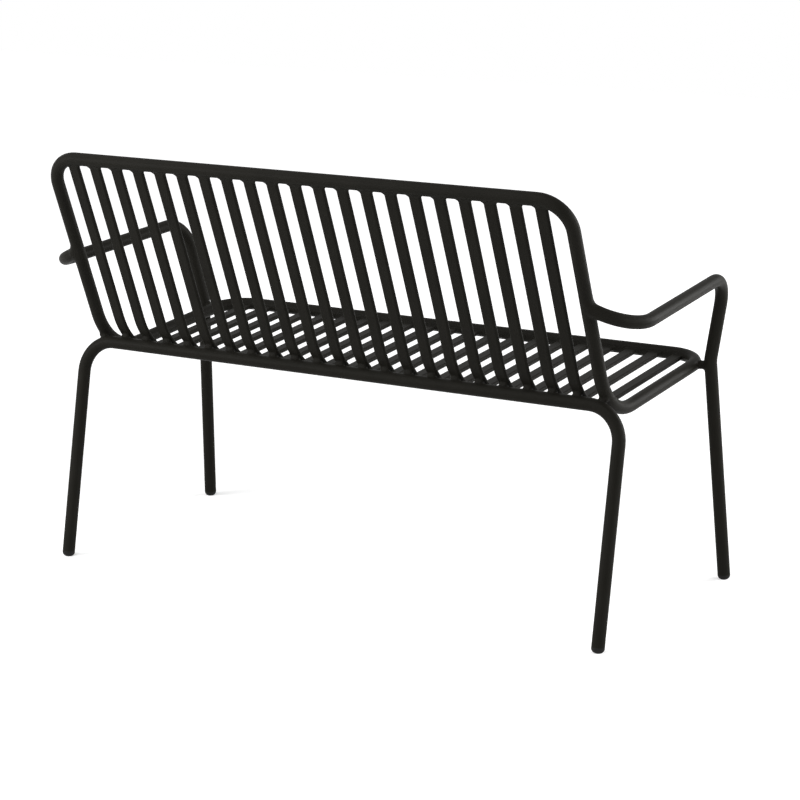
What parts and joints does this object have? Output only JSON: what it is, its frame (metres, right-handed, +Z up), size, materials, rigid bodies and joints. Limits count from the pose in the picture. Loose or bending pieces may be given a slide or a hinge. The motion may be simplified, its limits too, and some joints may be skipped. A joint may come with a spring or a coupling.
{
  "type": "garden bench",
  "caption": "Metal garden bench of bent tube with curved slats that run from the top rail to the front rail, and open armrests.",
  "frame": {"origin": "on the floor, under the middle of the bench's overall box", "axes": "+X towards the sitter's left, along the bench; +Y to the rear, so the front faces -Y; +Z up"},
  "size_m": [1.2914, 0.6267, 0.8309],
  "materials": {
    "powder_coat": "satin black powder coat on welded steel tube",
    "glide_plastic": "black moulded plastic",
    "bare_steel": "bare rolled steel tube, hidden inside the seat sides"
  },
  "bodies": {
    "root": {"back_bow": "powder_coat", "seat_bow": "powder_coat", "rear_leg_bow": "powder_coat", "slat_01": "powder_coat", "slat_02": "powder_coat", "slat_03": "powder_coat", "slat_04": "powder_coat", "slat_05": "powder_coat", "slat_06": "powder_coat", "slat_07": "powder_coat", "slat_08": "powder_coat", "slat_09": "powder_coat", "slat_10": "powder_coat", "slat_11": "powder_coat", "slat_12": "powder_coat", "slat_13": "powder_coat", "slat_14": "powder_coat", "slat_15": "powder_coat", "slat_16": "powder_coat", "slat_17": "powder_coat", "slat_18": "powder_coat", "slat_19": "powder_coat", "slat_20": "powder_coat", "slat_21": "powder_coat", "arm_and_leg_left": "powder_coat", "arm_and_leg_right": "powder_coat", "seat_stub_left": "powder_coat", "seat_stub_right": "powder_coat", "joint_sleeve_left": "bare_steel", "joint_sleeve_right": "bare_steel", "foot_glide_rear_left": "glide_plastic", "foot_glide_rear_right": "glide_plastic", "foot_glide_front_left": "glide_plastic", "foot_glide_front_right": "glide_plastic", "weld_slats_to_top_rail": "powder_coat", "weld_slats_to_front_rail": "powder_coat", "weld_slats_to_crossbar": "powder_coat", "weld_sides_to_leg_bow": "powder_coat", "weld_arms_to_back": "powder_coat", "weld_stubs": "powder_coat"}
  },
  "joints": []
}
